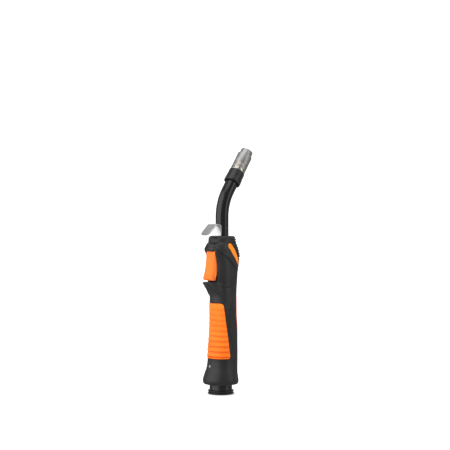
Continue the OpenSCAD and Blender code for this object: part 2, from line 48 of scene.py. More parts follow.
# sizes that several pieces share, in mm: heights from the cable collar's mouth
BASE_Z, TOP_Z = 13.4, 212.6
NECK_X, NECK_R, BEND_Z, BEND_R, BEND = 2.35, 8.8, 238.0, 62.0, math.radians(34)
RIB_FIRST, RIB_PITCH, RIB_COUNT = 51.7, 7.0, 10
TRIGGER_LOW, TRIGGER_HIGH, CHEEK = 152.0, 192.6, 8.3
SCREWS = ((15, 53), (14.5, 137), (16.2, 193))
CLAMP = (3.4, 37.5)

# ---------------------------------------------------------------- camera
cam_data = bpy.data.cameras.new("camera")
cam_data.lens = 86.5
cam_data.sensor_width = 36.0
cam_data.clip_end = 20.0
cam = bpy.data.objects.new("camera", cam_data)
bpy.context.scene.collection.objects.link(cam)
cam.location = (-1.0284, -1.0364, 0.2272)
cam.rotation_euler = (math.radians(90), 0.0, math.radians(-45))
bpy.context.scene.camera = cam
bpy.context.scene.view_settings.view_transform = "Standard"


# ---------------------------------------------------------------- node helpers
UP = (0.0, 0.0, 1.0)
# direction of the neck's straight end, and the point where the bend meets it
END = (math.sin(BEND), 0.0, math.cos(BEND))
ELBOW = (NECK_X + BEND_R * (1 - math.cos(BEND)), 0.0, BEND_Z + BEND_R * math.sin(BEND))
ELBOW_M = tuple(v * MM for v in ELBOW)


class Shade:
    """One material and the nodes it is made of."""

    def __init__(self, name):
        self.mat = bpy.data.materials.new(name)
        self.mat.use_nodes = True
        self.tree = self.mat.node_tree
        self.tree.nodes.clear()
        self.out = self.tree.nodes.new("ShaderNodeOutputMaterial")
        self.bsdf = self.tree.nodes.new("ShaderNodeBsdfPrincipled")
        self.link(self.bsdf, "BSDF", self.out, "Surface")
        self.coord = self.tree.nodes.new("ShaderNodeTexCoord")

    def link(self, a, ao, b, bi):
        self.tree.links.new(a.outputs[ao], b.inputs[bi])

    def set(self, **values):
        for key, value in values.items():
            self.bsdf.inputs[key.replace("_", " ")].default_value = value

    def noise(self, scale, detail=3.0, rough=0.5, stretch=None):
        n = self.tree.nodes.new("ShaderNodeTexNoise")
        n.inputs["Scale"].default_value = scale
        n.inputs["Detail"].default_value = detail
        n.inputs["Roughness"].default_value = rough
        if stretch:
            m = self.tree.nodes.new("ShaderNodeMapping")
            m.inputs["Scale"].default_value = stretch
            self.link(self.coord, "Object", m, "Vector")
            self.link(m, "Vector", n, "Vector")
        else:
            self.link(self.coord, "Object", n, "Vector")
        return n

    def along(self, direction, origin, scale, detail=2.0):
        """Noise that changes only along one direction: turned or drawn marks."""
        sub = self.tree.nodes.new("ShaderNodeVectorMath")
        sub.operation = "SUBTRACT"
        sub.inputs[1].default_value = origin
        self.link(self.coord, "Object", sub, 0)
        dot = self.tree.nodes.new("ShaderNodeVectorMath")
        dot.operation = "DOT_PRODUCT"
        dot.inputs[1].default_value = direction
        self.link(sub, "Vector", dot, 0)
        n = self.tree.nodes.new("ShaderNodeTexNoise")
        n.noise_dimensions = "1D"
        n.inputs["Scale"].default_value = scale
        n.inputs["Detail"].default_value = detail
        self.link(dot, "Value", n, "W")
        return n, dot

    def span(self, node, socket, low, high, to_low, to_high):
        m = self.tree.nodes.new("ShaderNodeMapRange")
        m.inputs["From Min"].default_value = low
        m.inputs["From Max"].default_value = high
        m.inputs["To Min"].default_value = to_low
        m.inputs["To Max"].default_value = to_high
        self.link(node, socket, m, "Value")
        return m

    def arith(self, operation, *values):
        m = self.tree.nodes.new("ShaderNodeMath")
        m.operation = operation
        for i, value in enumerate(values):
            self.tree.links.new(value, m.inputs[i])
        return m

    def mix(self, factor, fs, a, b):
        m = self.tree.nodes.new("ShaderNodeMix")
        m.data_type = "RGBA"
        self.tree.links.new(factor.outputs[fs], m.inputs[0])
        for i, v in ((6, a), (7, b)):
            if isinstance(v, tuple):
                m.inputs[i].default_value = (*v, 1.0)
            else:
                self.tree.links.new(v, m.inputs[i])
        return m.outputs[2]

    def bump(self, height, socket, strength, distance, under=None):
        b = self.tree.nodes.new("ShaderNodeBump")
        b.inputs["Strength"].default_value = strength
        b.inputs["Distance"].default_value = distance
        self.link(height, socket, b, "Height")
        if under:
            self.link(under, "Normal", b, "Normal")
        return b

    def finish(self, colour, rough, bump):
        if isinstance(colour, tuple):
            self.bsdf.inputs["Base Color"].default_value = (*colour, 1.0)
        else:
            self.tree.links.new(colour, self.bsdf.inputs["Base Color"])
        self.link(rough, "Result", self.bsdf, "Roughness")
        if bump:
            self.link(bump, "Normal", self.bsdf, "Normal")
        return self.mat


def moulded(name, base, light, dark, rough, grain=1500.0, depth=0.00004, wear=None, strength=0.5,
            spread=0.10, patch=28.0, painted_rib_shade=None, **fixed):
    """Moulded plastic or rubber: spark-eroded grain, faint mottling, paler rubbed edges, and painted
    shade below moulded ribs when asked for.
    """
    s = Shade(name)
    s.set(**fixed)
    broad = s.noise(patch, 4.0, 0.6)
    colour = s.mix(s.span(broad, "Fac", 0.35, 0.65, 0.0, 1.0), "Result", dark, light)
    colour = s.mix(s.span(s.noise(patch * 9, 3.0), "Fac", 0.3, 0.75, 0.0, 0.55), "Result", colour, base)
    if wear:
        geo = s.tree.nodes.new("ShaderNodeNewGeometry")
        edge = s.span(geo, "Pointiness", 0.515, 0.6, 0.0, 0.55)
        spots = s.span(s.noise(260.0, 5.0, 0.7), "Fac", 0.42, 0.62, 0.0, 1.0)
        both = s.arith("MULTIPLY", edge.outputs["Result"], spots.outputs["Result"])
        colour = s.mix(both, "Value", colour, wear)
    if painted_rib_shade:
        # painted shade below each moulded rib, strongest at the lowest ones and gone above the last
        first, pitch, run, shade = painted_rib_shade
        _, up = s.along(UP, (0.0, 0.0, first), 10.0)
        turn = s.arith("DIVIDE", up.outputs["Value"])
        turn.inputs[1].default_value = pitch
        part = s.arith("FRACT", turn.outputs["Value"])
        under = s.span(part, "Value", 0.35, 0.9, 0.0, 1.0).outputs["Result"]
        for extra in (s.span(part, "Value", 0.93, 1.0, 1.0, 0.0),
                      s.span(up, "Value", 0.0, run, 0.85, 0.25),
                      s.span(up, "Value", run + 0.001, run + 0.0025, 1.0, 0.0)):
            both = s.arith("MULTIPLY", under, extra.outputs["Result"])
            under = both.outputs["Value"]
        colour = s.mix(both, "Value", colour, shade)
    fine = s.noise(grain, 2.0, 0.6)
    half = spread * 0.5
    r = s.span(s.noise(patch * 3, 5.0, 0.65), "Fac", 0.3, 0.7, rough - half, rough + half)
    b = s.bump(fine, "Fac", strength, depth)
    b = s.bump(s.noise(140.0, 2.0), "Fac", 0.25, 0.0001, under=b)
    return s.finish(colour, r, b)




def turned(name, base, tint, rough, direction=END, origin=ELBOW_M, marks=2600.0, depth=0.000012,
           spread=0.12, stain=None, **fixed):
    """Turned or drawn metal: fine marks round the axis, handling smudges, faint tint."""
    s = Shade(name)
    s.set(Metallic=1.0, **fixed)
    lines, run = s.along(direction, origin, marks)
    smudge = s.noise(70.0, 5.0, 0.65)
    colour = s.mix(s.span(smudge, "Fac", 0.35, 0.7, 0.0, 1.0), "Result", base, tint)
    colour = s.mix(s.span(lines, "Fac", 0.3, 0.8, 0.0, 0.35), "Result", colour, tint)
    if stain:
        start, end, hot = stain
        colour = s.mix(s.span(run, "Value", start, end, 0.0, 0.6), "Result", colour, hot)
    half = spread * 0.5
    r = s.span(s.noise(110.0, 5.0, 0.7), "Fac", 0.3, 0.7, rough - half, rough + half)
    b = s.bump(lines, "Fac", 0.35, depth)
    b = s.bump(s.noise(900.0, 3.0), "Fac", 0.2, 0.00001, under=b)
    return s.finish(colour, r, b)


MATS = {
    "handle_black": moulded("handle_black", (0.013, 0.013, 0.014), (0.017, 0.017, 0.018),
                            (0.010, 0.010, 0.011), 0.44, wear=(0.06, 0.06, 0.063), spread=0.12,
                            Specular_IOR_Level=0.35),
    "soft_orange": moulded("soft_orange", (0.93, 0.185, 0.012), (0.97, 0.215, 0.016), (0.86, 0.16, 0.01),
                           0.5, grain=1900.0, depth=0.00005, wear=(0.95, 0.33, 0.08), spread=0.14,
                           # painted shade for the grip: this colour darkens the band under each moulded
                           # rib
                           painted_rib_shade=(RIB_FIRST * MM, RIB_PITCH * MM, RIB_PITCH * MM * (RIB_COUNT - 1),
                                  (0.62, 0.075, 0.004)), Specular_IOR_Level=0.15),
    "pad_red": moulded("pad_red", (0.82, 0.1, 0.035), (0.86, 0.125, 0.05), (0.74, 0.08, 0.025), 0.52,
                       grain=1900.0, wear=(0.9, 0.26, 0.16), Specular_IOR_Level=0.2),
    "rubber_black": moulded("rubber_black", (0.012, 0.012, 0.013), (0.016, 0.016, 0.017),
                            (0.009, 0.009, 0.010), 0.5, grain=2100.0, wear=(0.12, 0.12, 0.125),
                            Specular_IOR_Level=0.4),
    "badge_orange": moulded("badge_orange", (0.93, 0.24, 0.012), (0.97, 0.28, 0.02), (0.88, 0.21, 0.01),
                            0.34, grain=1300.0, depth=0.00002, wear=(0.95, 0.5, 0.2),
                            Specular_IOR_Level=0.2),
    "trigger_orange": moulded("trigger_orange", (0.93, 0.165, 0.012), (0.97, 0.19, 0.018),
                              (0.88, 0.145, 0.01), 0.36,
                              grain=1600.0, depth=0.00003, wear=(0.97, 0.36, 0.12), spread=0.1,
                              Specular_IOR_Level=0.2),
    "inner_black": moulded("inner_black", (0.03, 0.03, 0.032), (0.036, 0.036, 0.04),
                           (0.024, 0.024, 0.026), 0.55, grain=1100.0),
    "collar_black": moulded("collar_black", (0.007, 0.007, 0.0075), (0.010, 0.010, 0.0105),
                            (0.005, 0.005, 0.0055), 0.33, grain=1000.0, depth=0.00002,
                            wear=(0.04, 0.04, 0.04), spread=0.14, Specular_IOR_Level=0.4),
    "neck_black": moulded("neck_black", (0.0025, 0.0025, 0.0027), (0.0035, 0.0035, 0.0037),
                          (0.002, 0.002, 0.0022), 0.2, grain=700.0, depth=0.000008, strength=0.3,
                          spread=0.08, Specular_IOR_Level=0.42),
    "lead_black": moulded("lead_black", (0.02, 0.02, 0.021), (0.026, 0.026, 0.027),
                          (0.015, 0.015, 0.016), 0.4),
    "splice_red": moulded("splice_red", (0.5, 0.05, 0.03), (0.56, 0.07, 0.04),
                          (0.42, 0.04, 0.03), 0.3),
    "plunger_white": moulded("plunger_white", (0.75, 0.75, 0.7), (0.8, 0.8, 0.76),
                             (0.68, 0.68, 0.62), 0.4),
    "screw_steel": turned("screw_steel", (0.42, 0.42, 0.43), (0.5, 0.5, 0.5), 0.32, UP,
                          (0, 0, 0), 1800.0),
    "hook_steel": turned("hook_steel", (0.6, 0.605, 0.61), (0.68, 0.68, 0.68), 0.34, (0.0, 1.0, 0.0),
                         (0, 0, 0), 1500.0),
    "brass": turned("brass", (0.72, 0.5, 0.2), (0.62, 0.42, 0.17), 0.3, UP, (0, 0, 0)),
    "terminal_brass": turned("terminal_brass", (0.62, 0.56, 0.4), (0.7, 0.64, 0.5), 0.3, UP, (0, 0, 0)),
    "spring_steel": turned("spring_steel", (0.45, 0.45, 0.46), (0.55, 0.55, 0.56), 0.3),
    "copper": turned("copper", (0.72, 0.34, 0.19), (0.6, 0.27, 0.14), 0.26),
    "chrome": turned("chrome", (0.4, 0.435, 0.39), (0.5, 0.53, 0.48), 0.16, spread=0.06),
    "nozzle_metal": turned("nozzle_metal", (0.3, 0.3, 0.295), (0.35, 0.35, 0.345), 0.42,
                           stain=(0.064, 0.0685, (0.22, 0.2, 0.19))),
}


# ---------------------------------------------------------------- mesh helpers
def soften(mesh, degrees):
    """Smooth shading that keeps edges sharper than this angle."""
    for p in mesh.polygons:
        p.use_smooth = True
    mesh.set_sharp_from_angle(angle=math.radians(degrees))


def raw(name, verts, faces, weld=None):
    """An object from verts in mm, its normals pointing out."""
    mesh = bpy.data.meshes.new(name)
    mesh.from_pydata([tuple(np.asarray(v, float) * MM) for v in verts], [], faces)
    bm = bmesh.new()
    bm.from_mesh(mesh)
    if weld:
        bmesh.ops.remove_doubles(bm, verts=bm.verts, dist=weld)
    bmesh.ops.recalc_face_normals(bm, faces=bm.faces)
    bm.to_mesh(mesh)
    bm.free()
    obj = bpy.data.objects.new(name, mesh)
    bpy.context.scene.collection.objects.link(obj)
    return obj


def piece(name, verts, faces, slot, body, stands_for, smooth):
    """A finished piece on a body, shown in place of the CAD nodes it stands for."""
    obj = raw(name, verts, faces, weld=2e-6)
    obj.data.materials.append(MATS[slot])
    soften(obj.data, smooth)
    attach(obj, body)
    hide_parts(*stands_for)
    return obj


def applied(obj):
    """Turns the modifiers of obj into its real mesh."""
    bpy.context.view_layer.update()
    graph = bpy.context.evaluated_depsgraph_get()
    mesh = bpy.data.meshes.new_from_object(obj.evaluated_get(graph))
    obj.modifiers.clear()
    old = obj.data
    obj.data = mesh
    bpy.data.meshes.remove(old)


def cut(obj, cutters, degrees):
    """Takes the cutters out of obj, one after another, and shades it again."""
    for c in cutters:
        m = obj.modifiers.new("cut", "BOOLEAN")
        m.operation = "DIFFERENCE"
        m.solver = "EXACT"
        m.object = c
    applied(obj)
    for c in cutters:
        mesh = c.data
        bpy.data.objects.remove(c)
        bpy.data.meshes.remove(mesh)
    soften(obj.data, degrees)


def tool(verts, faces):
    return raw("tool", verts, faces)


def wall(n):
    """Two end caps and the sides between two rings of n points."""
    sides = [[i, (i + 1) % n, n + (i + 1) % n, n + i] for i in range(n)]
    return [list(range(n)), list(range(n, 2 * n))] + sides


def prism(outline, y0, y1):
    """Verts and faces of an outline in X and Z drawn out along Y."""
    return [(x, y, z) for y in (y0, y1) for x, z in outline], wall(len(outline))


def rod(centre, direction, r, length, sides):
    """Verts and faces of a round rod that starts at centre."""
    d = Vector(direction).normalized()
    a = d.orthogonal().normalized()
    b = d.cross(a)
    c = Vector(centre)
    verts = []
    for s in (0.0, length):
        for i in range(sides):
            t = 2 * math.pi * i / sides
            verts.append(tuple(c + d * s + a * (r * math.cos(t)) + b * (r * math.sin(t))))
    return verts, wall(sides)


def rounded(points, radius, steps=4):
    """A closed outline with its corners rounded; radius is one number or one for each point."""
    n = len(points)
    radii = radius if isinstance(radius, (list, tuple)) else [radius] * n
    out = []
    for i, p in enumerate(points):
        p = np.array(p, float)
        a, b = np.array(points[i - 1], float) - p, np.array(points[(i + 1) % n], float) - p
        la, lb = np.linalg.norm(a), np.linalg.norm(b)
        a, b = a / la, b / lb
        turn = math.acos(max(-1.0, min(1.0, float(a @ b))))
        if radii[i] <= 0 or turn > 3.1:
            out.append(tuple(p))
            continue
        reach = min(radii[i] / math.tan(turn / 2), la * 0.48, lb * 0.48)
        s, e = p + a * reach, p + b * reach
        for k in range(steps + 1):
            t = k / steps
            out.append(tuple((1 - t) ** 2 * s + 2 * t * (1 - t) * p + t * t * e))
    return out


def grid_faces(rows, cols, wrap=False, start=0):
    faces = []
    for i in range(rows - 1):
        for j in range(cols if wrap else cols - 1):
            k = (j + 1) % cols
            a, b = start + i * cols, start + (i + 1) * cols
            faces.append([a + j, a + k, b + k, b + j])
    return faces


def closed_grid(top, low):
    """Verts and faces of a thin solid between two grids of points."""
    rows, cols = top.shape[:2]
    n = rows * cols
    verts = [tuple(v) for grid in (top, low) for v in grid.reshape(-1, 3)]
    faces = grid_faces(rows, cols) + grid_faces(rows, cols, start=n)
    rim = list(range(cols)) + [i * cols + cols - 1 for i in range(1, rows)]
    rim += [(rows - 1) * cols + j for j in range(cols - 2, -1, -1)]
    rim += [i * cols for i in range(rows - 2, 0, -1)]
    k = len(rim)
    faces += [[rim[i], rim[(i + 1) % k], n + rim[(i + 1) % k], n + rim[i]] for i in range(k)]
    return verts, faces


def dome(inset, width):
    """Rises from 0 at an edge to 1 at width inside it, as a quarter of a circle."""
    return np.sqrt(1 - (1 - np.clip(inset / width, 0, 1)) ** 2)


def lathe(name, outline, slot, body, stands_for, place="end", sides=112):
    """A ring turned from a closed outline of (radius, distance along the axis)."""
    n = len(outline)
    verts, faces = [], []
    for j in range(sides):
        t = 2 * math.pi * j / sides
        for r, u in outline:
            verts.append(on_axis(r * math.cos(t), r * math.sin(t), u) if place == "end"
                         else (r * math.cos(t), r * math.sin(t), u))
    for j in range(sides):
        k = (j + 1) % sides
        for i in range(n):
            m = (i + 1) % n
            faces.append([j * n + i, k * n + i, k * n + m, j * n + m])
    return piece(name, verts, faces, slot, body, stands_for, smooth=38.0)


def on_axis(a, b, u):
    """A point u along the neck's end axis, a to its side in the XZ plane and b along Y."""
    s, c = END[0], END[2]
    return (ELBOW[0] + u * s + a * c, b, ELBOW[2] + u * c - a * s)


# ---------------------------------------------------------------- handle form
# height, front x, back x, half width, squareness
FORM = np.array([
    [13.4, -22.6, 22.6, 22.6, 2], [14.8, -23.9, 23.8, 23.9, 2], [18.5, -24.5, 24.1, 24.3, 2],
    [22, -23.9, 23.7, 23.7, 2], [27.5, -21.9, 22.9, 22.2, 2.05], [35.5, -18.5, 23.1, 20, 2.2],
    [44, -17, 23.6, 18.6, 2.35], [60, -16.7, 24, 17.8, 2.4], [72, -15.2, 23.9, 17.5, 2.4],
    [92, -13.9, 23.6, 17, 2.4], [104, -13.6, 22.3, 16.7, 2.4], [129, -13.6, 22.1, 16.5, 2.4],
    [140, -15.2, 22.4, 17, 2.4], [157, -17, 23.8, 18, 2.4], [173, -17.6, 25, 19, 2.4],
    [180, -18.6, 26.4, 19.4, 2.4], [186, -20.4, 27.1, 19.5, 2.4], [193.5, -22.1, 25, 19.5, 2.4],
    [201.6, -19.3, 22.1, 17.5, 2.4], [204.2, -16.2, 20.8, 16.8, 2.4], [209.4, -15.6, 20.1, 16.5, 2.4],
    [211.4, -14.6, 19.2, 15.6, 2.4], [212.6, -12.8, 17.4, 13.8, 2.4]])


def smooth_column(xs, ys, x):
    """Monotone cubic through the sections, so nothing swells past them."""
    h = np.diff(xs)
    d = np.diff(ys) / h
    m = np.zeros_like(ys)
    m[0], m[-1] = d[0], d[-1]
    for i in range(1, len(xs) - 1):
        if d[i - 1] * d[i] > 0:
            w1, w2 = 2 * h[i] + h[i - 1], h[i] + 2 * h[i - 1]
            m[i] = (w1 + w2) / (w1 / d[i - 1] + w2 / d[i])
    i = np.clip(np.searchsorted(xs, x, side="right") - 1, 0, len(xs) - 2)
    t = (x - xs[i]) / h[i]
    return ((2 * t**3 - 3 * t**2 + 1) * ys[i] + (t**3 - 2 * t**2 + t) * h[i] * m[i]
            + (-2 * t**3 + 3 * t**2) * ys[i + 1] + (t**3 - t**2) * h[i] * m[i + 1])


def section(z):
    """Front x, back x, half width and squareness of the handle at height z."""
    z = np.clip(np.asarray(z, float), FORM[0, 0], FORM[-1, 0])
    return [smooth_column(FORM[:, 0], FORM[:, k], z) for k in (1, 2, 3, 4)]


def form_point(a, z, grow=0.0):
    """Point at angle a from the front, on the +Y side, at height z."""
    xf, xb, w, n = section(z)
    ax, by = (xb - xf) / 2 + grow, w + grow
    c, s = np.cos(a), np.sin(a)
    r = (np.abs(c / ax) ** n + np.abs(s / by) ** n) ** (-1 / n)
    return np.stack([(xf + xb) / 2 - r * c, r * s, np.broadcast_to(z, r.shape)], -1)


def form_normal(a, z):
    """The way straight out of the form at angle a and height z."""
    e = 1e-3
    du = form_point(a + e, z) - form_point(a - e, z)
    dv = form_point(a, np.asarray(z) + 0.05) - form_point(a, np.asarray(z) - 0.05)
    n = np.cross(dv, du)
    return n / np.maximum(np.linalg.norm(n, axis=-1, keepdims=True), 1e-12)


def side_y(x, z):
    """Half width of the form at x and z."""
    xf, xb, w, n = section(z)
    c, ax = (xf + xb) / 2, (xb - xf) / 2
    q = np.clip(1 - np.abs((x - c) / ax) ** n, 0, 1)
    return w * q ** (1 / n)


def angle_at(x, z):
    """Angle from the front at which the form reaches x."""
    xf, xb, _, _ = section(z)
    return np.arctan2(side_y(x, z), (xf + xb) / 2 - x)


def to_line(points, px, pz, closed=False):
    """Distance from (px, pz) to a polyline, and the side it is on (+ left of travel)."""
    best = np.full(px.shape, 1e9)
    side = np.zeros(px.shape)
    pts = list(points) + ([points[0]] if closed else [])
    for (x0, z0), (x1, z1) in zip(pts[:-1], pts[1:]):
        dx, dz = x1 - x0, z1 - z0
        t = np.clip(((px - x0) * dx + (pz - z0) * dz) / (dx * dx + dz * dz), 0, 1)
        d = np.hypot(px - x0 - t * dx, pz - z0 - t * dz)
        s = np.sign(dx * (pz - z0) - dz * (px - x0))
        near = d < best
        best = np.where(near, d, best)
        side = np.where(near, s, side)
    return best, side


def within(points, px, pz):
    """Signed distance to a closed outline: negative inside."""
    d, _ = to_line(points, px, pz, closed=True)
    inside = np.zeros(px.shape, bool)
    n = len(points)
    for i in range(n):
        (x0, z0), (x1, z1) = points[i], points[(i + 1) % n]
        cross = ((z0 > pz) != (z1 > pz)) & (
            px < (x1 - x0) * (pz - z0) / np.where(z1 == z0, 1e-9, z1 - z0) + x0)
        inside ^= cross
    return np.where(inside, -d, d)


def step(x, lo, hi):
    """0 below lo and 1 above hi, with a smooth rise between."""
    t = np.clip((x - lo) / (hi - lo), 0, 1)
    return t * t * (3 - 2 * t)


# outlines of the fitted pieces in X and Z; the back pad's is (height, half width),
# and the guard lip's is (height, front x)
GRIP = rounded([(-40, 47.9), (0.6, 47.9), (-8, 122.2), (-40, 122.2)], [0, 4.0, 4.0, 0], 6)
BADGE_HEAD, BADGE_TIP, BADGE_R = np.array([0.3, 199.2]), np.array([18.5, 173.4]), 3.75
BADGE_LENGTH = float(np.hypot(*(BADGE_TIP - BADGE_HEAD)))
BADGE_WAY = (BADGE_TIP - BADGE_HEAD) / BADGE_LENGTH
THUMB = rounded([(8.2, 209), (40, 209), (40, 183.2), (17.6, 183.2), (13.4, 192.5), (10.2, 201)],
                [2, 0, 0, 2, 6, 6], 5)
PAD = [(62, 0.0), (63.2, 4.2), (68, 8.6), (78, 12.1), (98, 13.6), (118, 13.4), (130, 11.8), (134.6, 8.0),
       (135.7, 4.5), (136, 0.0)]
LIP = [(131, -9), (134.2, -11.6), (137.6, -13.4), (141.4, -16.2), (145.8, -21.6), (149.6, -27.7),
       (150.5, -27.9), (150.8, -27.2)]


def badge_half(t):
    """Half width of the badge a share t of the way from its head's centre to its tip."""
    t = np.clip(t, 0, 1)
    return BADGE_R * (1 - 0.62 * t**1.6) * np.sqrt(np.clip((1 - t) * 20, 0, 1))


def badge_bow(t):
    """How far the badge's middle line bends sideways."""
    return 0.05 * np.sin(math.pi * np.clip(t, 0, 1))


def badge_gap(x, z):
    """Distance outside the badge's outline in X and Z, less than 0 inside."""
    length, d = BADGE_LENGTH, BADGE_WAY
    along = (x - BADGE_HEAD[0]) * d[0] + (z - BADGE_HEAD[1]) * d[1]
    across = np.abs(-(x - BADGE_HEAD[0]) * d[1] + (z - BADGE_HEAD[1]) * d[0]
                    + badge_bow(along / length))
    body = across - badge_half(along / length)
    top = np.hypot(along, across) - BADGE_R
    end = np.hypot(along - length, across)
    return np.where(along < 0, top, np.where(along > length, end, np.minimum(body, end)))


def pad_half(z):
    """Half width of the back pad at height z, -1 above and below it."""
    zs, hs = np.array(PAD, float).T
    h = smooth_column(zs, hs, np.clip(z, zs[0], zs[-1]))
    return np.where((z < zs[0]) | (z > zs[-1]), -1.0, h)


def relief(a, z, x, y):
    """How far the shell's skin stands out from the plain form, in mm."""
    deg = np.degrees(a)
    s = deg * 0.37
    d = np.zeros(np.broadcast(a, z).shape)
    z = np.broadcast_to(z, d.shape)
    # overlapping shoulder that runs down from the nose to the back
    line = [(-4, 202.4), (2, 201.4), (8.2, 198.0), (13.0, 194.0), (19.2, 188.4), (27.9, 180.8),
            (33, 176.4), (40, 171.6), (47, 168.0), (54, 165)]
    gap, side = to_line(line, s, z)
    below = np.where(side > 0, -gap, gap)
    strength = step(deg, 3, 24) * (1 - 0.75 * step(deg, 95, 150))
    d -= 1.7 * strength * step(below, -0.15, 0.6) * np.exp(-np.maximum(below - 0.6, 0) / 10.0)
    d += 0.45 * strength * np.exp(-((below + 0.8) / 0.7) ** 2)
    # ridge that carries the guard lip's edge round the side
    ridge = [(0, 150.2), (14.0, 147.6), (19, 146.2), (26, 144.6), (33, 143.2)]
    gap, side = to_line(ridge, s, z)
    under = np.where(side > 0, -gap, gap)
    fade = 1 - step(deg, 70, 98)
    d += 0.75 * fade * np.exp(-(under / 0.8) ** 2)
    d -= 0.7 * fade * step(under, 0.3, 1.2) * np.exp(-np.maximum(under - 1, 0) / 3.5)
    # spine up the back between two creases
    spine = [(15.6, 176), (13.8, 168.7), (12.8, 150.4), (9.4, 138.4), (5.2, 126.3), (1.2, 113.3),
             (-0.6, 98), (0.5, 80), (4.0, 62), (7.5, 46)]
    gap, _ = to_line(spine, x, z)
    fade = step(z, 44, 58) * (1 - step(z, 172, 178)) * step(deg, 40, 60)
    d -= 0.55 * fade * np.exp(-(gap / 0.8) ** 2)
    d += 0.25 * fade * np.exp(-((gap - 1.6) / 0.7) ** 2)
    inner = [(19.6, 172), (18.4, 158), (17.2, 146), (16.6, 134), (16.6, 110), (17.6, 84), (18.6, 62)]
    gap, _ = to_line(inner, x, z)
    fade = step(z, 60, 74) * (1 - step(z, 164, 174))
    d -= 0.4 * fade * np.exp(-(gap / 0.8) ** 2)
    # seats for the fitted pieces
    g = within(GRIP, x, z)
    d -= 1.2 * (1 - step(g, 0.05, 0.5))
    d += 0.18 * np.exp(-((g - 1.5) / 0.8) ** 2)
    g = badge_gap(x, z)
    d -= 1.7 * (1 - step(g, 0.45, 1.15)) * (deg < 150)
    d += 0.25 * np.exp(-((g - 1.7) / 0.6) ** 2) * (deg < 150)
    g = within(THUMB, x, z)
    d -= 1.0 * (1 - step(g, 0.1, 0.6))
    half = pad_half(z)
    behind = (deg > 120) & (half > 0)
    d -= 1.0 * np.where(behind, 1 - step(y - half, 0.1, 0.6), 0)
    # rounding round the trigger's opening
    u = np.maximum(np.abs(y) - CHEEK, 0)
    v = np.maximum(np.maximum(TRIGGER_LOW - z, z - TRIGGER_HIGH), 0)
    g = np.hypot(u, v)
    d -= np.where(deg < 60, 0.45 * np.exp(-(g / 0.7) ** 2) * (z > 151.4), 0)
    # seams at the front and the back
    d -= 0.22 * np.exp(-(deg / 0.9) ** 2) + 0.22 * np.exp(-((deg - 180) / 0.9) ** 2)
    return d


def lip_reach(a, z):
    """How far the guard lip stands out from the form, straight out from the axis."""
    lz, lx = np.array(LIP, float).T
    front = np.interp(z, lz, lx)
    xf, xb, _, _ = section(z)
    c = (xf + xb) / 2
    # ray from the section's centre out to the lip's plan, an ellipse cut off by its front line
    ca, sa = np.cos(a), np.sin(a)
    ex, ea, eb = -14.0, 15.4, 12.9
    p = c - ex
    qa = (ca / ea) ** 2 + (sa / eb) ** 2
    qb = -2 * p * ca / ea**2
    qc = (p / ea) ** 2 - 1
    disc = np.maximum(qb * qb - 4 * qa * qc, 0)
    reach = (-qb + np.sqrt(disc)) / (2 * qa)
    # the front line, curved round a little
    line = (c - front) / np.maximum(ca, 0.05) * (1 + 0.05 * (1 - ca))
    reach = np.minimum(reach, line)
    here = form_point(a, z)
    r = np.hypot(here[..., 0] - c, here[..., 1])
    soft = 0.9 * step(z, 131, 136) * (1 - step(z, 149.8, 150.86)) + 0.05
    q = np.clip((reach - r) / soft, -30, 30)
    out = np.where(q > 25, reach - r, soft * np.log1p(np.exp(q)))
    on = (z >= 131) & (z <= 150.85)
    return np.where(on, out * step(ca, -0.2, 0.25), 0)


